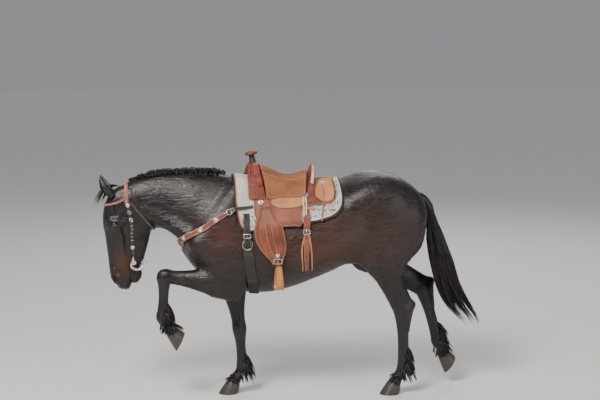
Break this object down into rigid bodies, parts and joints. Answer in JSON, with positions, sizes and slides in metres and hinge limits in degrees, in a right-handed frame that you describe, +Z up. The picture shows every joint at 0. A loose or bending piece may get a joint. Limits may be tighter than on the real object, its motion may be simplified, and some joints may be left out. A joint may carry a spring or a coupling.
{
  "type": "friesian horse",
  "caption": "Black horse at a trot with one foreleg and one hind leg raised, mane, feathered fetlocks, western saddle, pad, breast collar and bridle.",
  "frame": {"origin": "centre of the underside of the whole box, on the floor", "axes": "the horse faces -X, its left side is towards -Y, +Z is up; X is the longest extent and Y the shortest"},
  "size_m": [2.6938, 0.808, 1.7411],
  "materials": {
    "coat": "short wet black-brown hair over flesh",
    "eye": "wet dark eye",
    "horn": "hoof horn",
    "pad_weave": "woven wool over felt",
    "leather_brown": "tooled red-brown leather",
    "leather_tan": "rough-out tan leather",
    "leather_black": "oiled black leather",
    "leather_pink": "dyed pink-red leather",
    "stirrup_leather": "wrapped orange-brown leather",
    "cinch_webbing": "woven cinch cord",
    "silver": "engraved silver-coloured metal"
  },
  "bodies": {
    "root": {"torso": "coat", "neck": "coat", "head": "coat", "ear_left": "coat", "ear_right": "coat", "tail": "coat", "eye_left": "eye", "eye_right": "eye", "left_fore_upper": "coat", "left_fore_cannon": "coat", "left_fore_pastern": "coat", "left_fore_hoof": "horn", "right_fore_upper": "coat", "right_fore_cannon": "coat", "right_fore_pastern": "coat", "right_fore_hoof": "horn", "left_hind_upper": "coat", "left_hind_cannon": "coat", "left_hind_pastern": "coat", "left_hind_hoof": "horn", "right_hind_upper": "coat", "right_hind_cannon": "coat", "right_hind_pastern": "coat", "right_hind_hoof": "horn", "saddle_pad": "pad_weave", "saddle_skirt_left": "leather_brown", "saddle_skirt_right": "leather_brown", "rear_jockey_left": "leather_tan", "rear_jockey_right": "leather_tan", "saddle_seat": "leather_tan", "saddle_cantle": "leather_brown", "saddle_fork": "leather_brown", "saddle_horn": "leather_brown", "fender_left": "leather_brown", "fender_right": "leather_brown", "stirrup_left": "stirrup_leather", "stirrup_right": "stirrup_leather", "cinch": "cinch_webbing", "latigo_left": "leather_black", "latigo_right": "leather_black", "rear_billet_left": "leather_brown", "rear_billet_right": "leather_brown", "breast_collar": "leather_brown", "collar_strap_left": "leather_black", "collar_strap_right": "leather_black", "tie_down_strap": "leather_brown", "string_rear_left": "leather_pink", "string_rear_right": "leather_pink", "string_front_left": "leather_tan", "string_front_right": "leather_tan", "crownpiece": "leather_pink", "browband": "leather_pink", "cheekpiece_left": "leather_black", "cheekpiece_right": "leather_black", "throatlatch": "leather_black", "curb_strap": "leather_black", "bit": "silver"}
  },
  "joints": []
}
